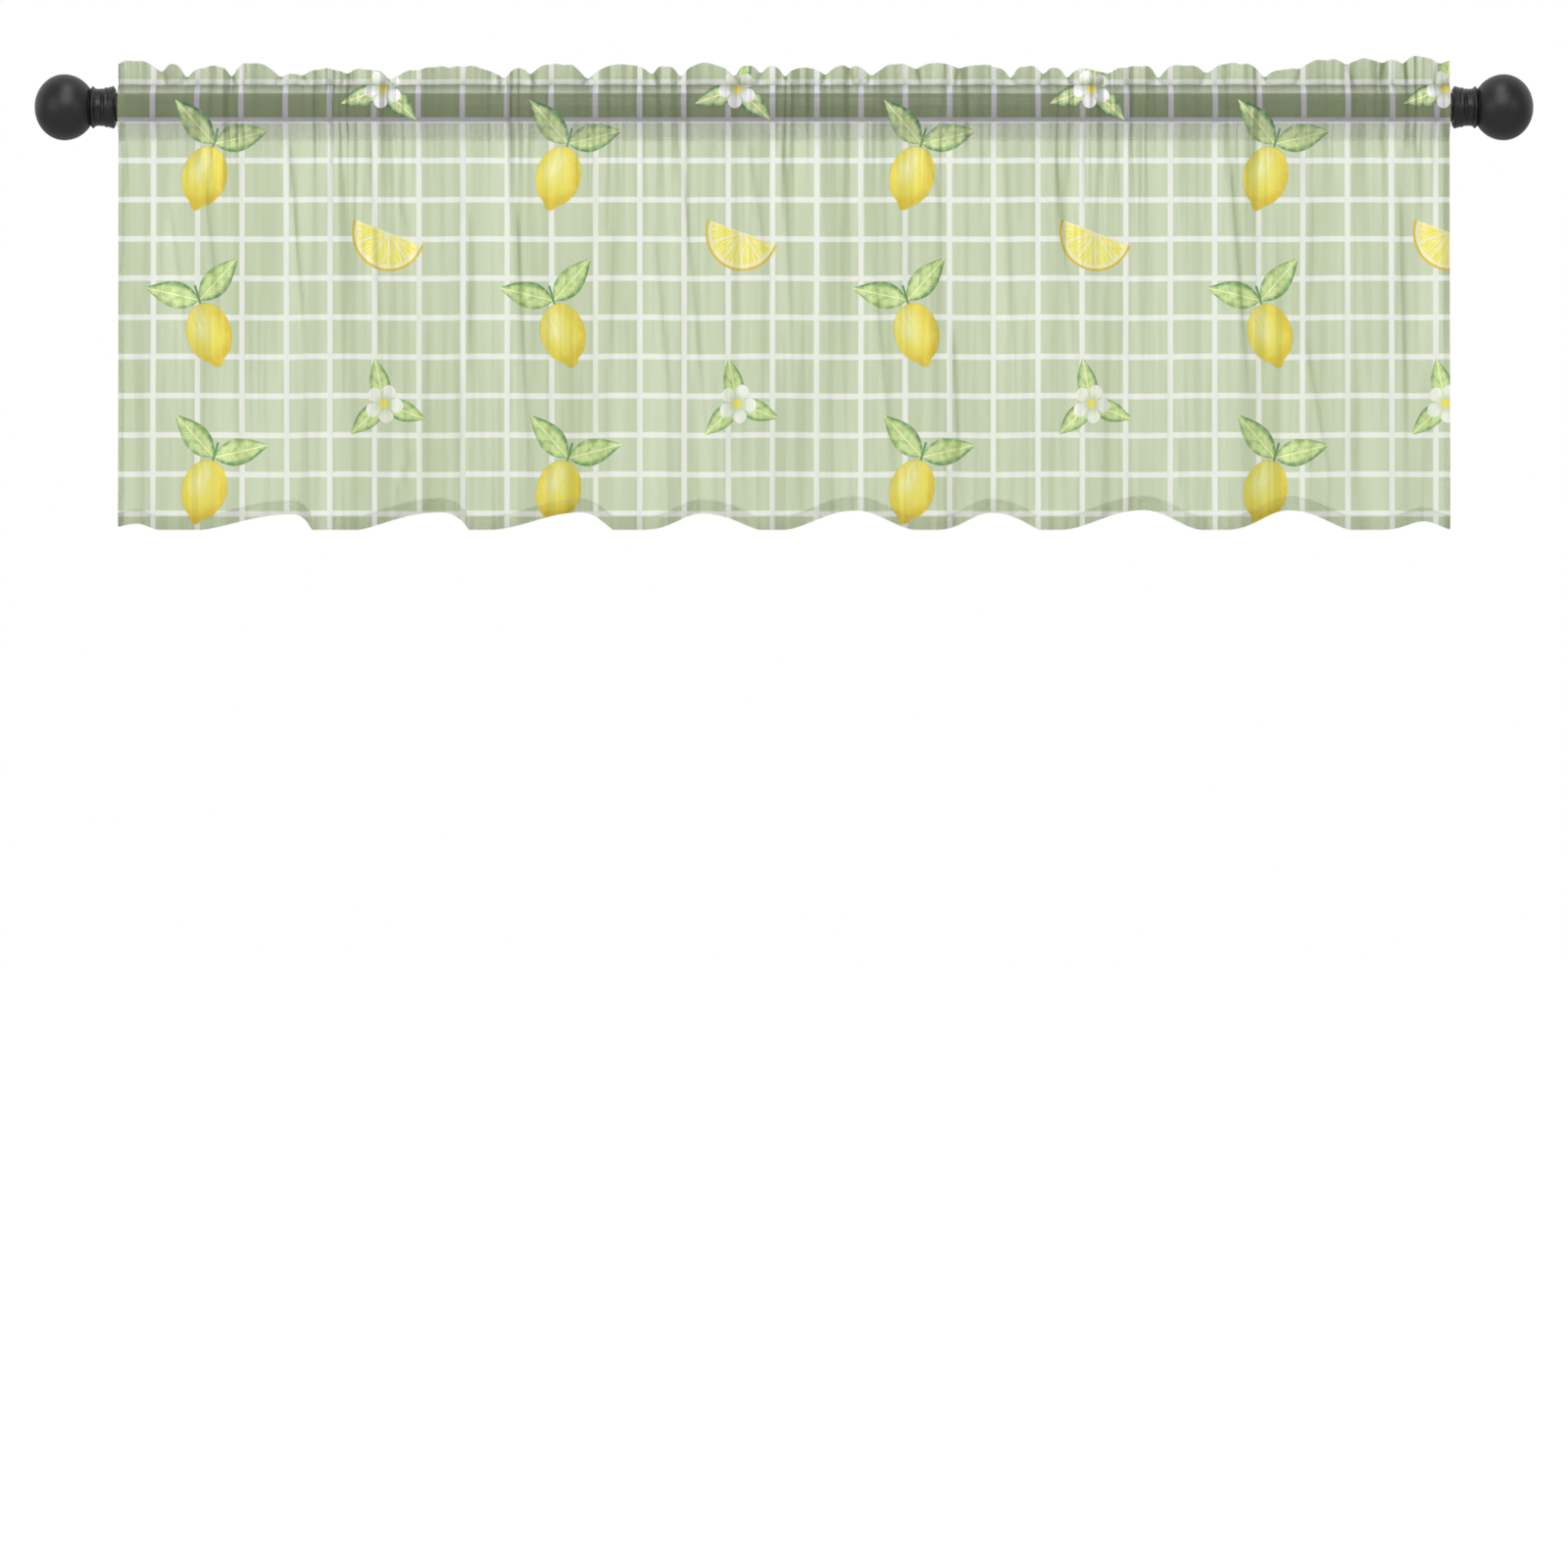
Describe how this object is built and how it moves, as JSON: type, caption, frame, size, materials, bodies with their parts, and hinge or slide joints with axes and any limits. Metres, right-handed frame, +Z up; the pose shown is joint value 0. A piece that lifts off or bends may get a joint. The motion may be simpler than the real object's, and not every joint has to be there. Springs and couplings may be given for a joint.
{
  "type": "rod-pocket valance on a curtain rod",
  "caption": "Sheer checked voile valance with a gathered heading and rod pocket, hanging in soft flutes from a round metal rod with ball finials.",
  "frame": {"origin": "on the rod's axis, half way along the rod", "axes": "+X along the rod to the right as seen from the room, +Y away from the room towards the window, +Z up"},
  "size_m": [1.471, 0.0648, 0.4644],
  "materials": {
    "voile": "sheer printed voile, sage check with white lines",
    "rod_paint": "satin black paint",
    "finial_paint": "satin charcoal black paint"
  },
  "bodies": {
    "root": {"valance_panel": "voile", "rod": "rod_paint", "finial_collar_left": "finial_paint", "finial_ball_left": "finial_paint", "finial_collar_right": "finial_paint", "finial_ball_right": "finial_paint"}
  },
  "joints": []
}
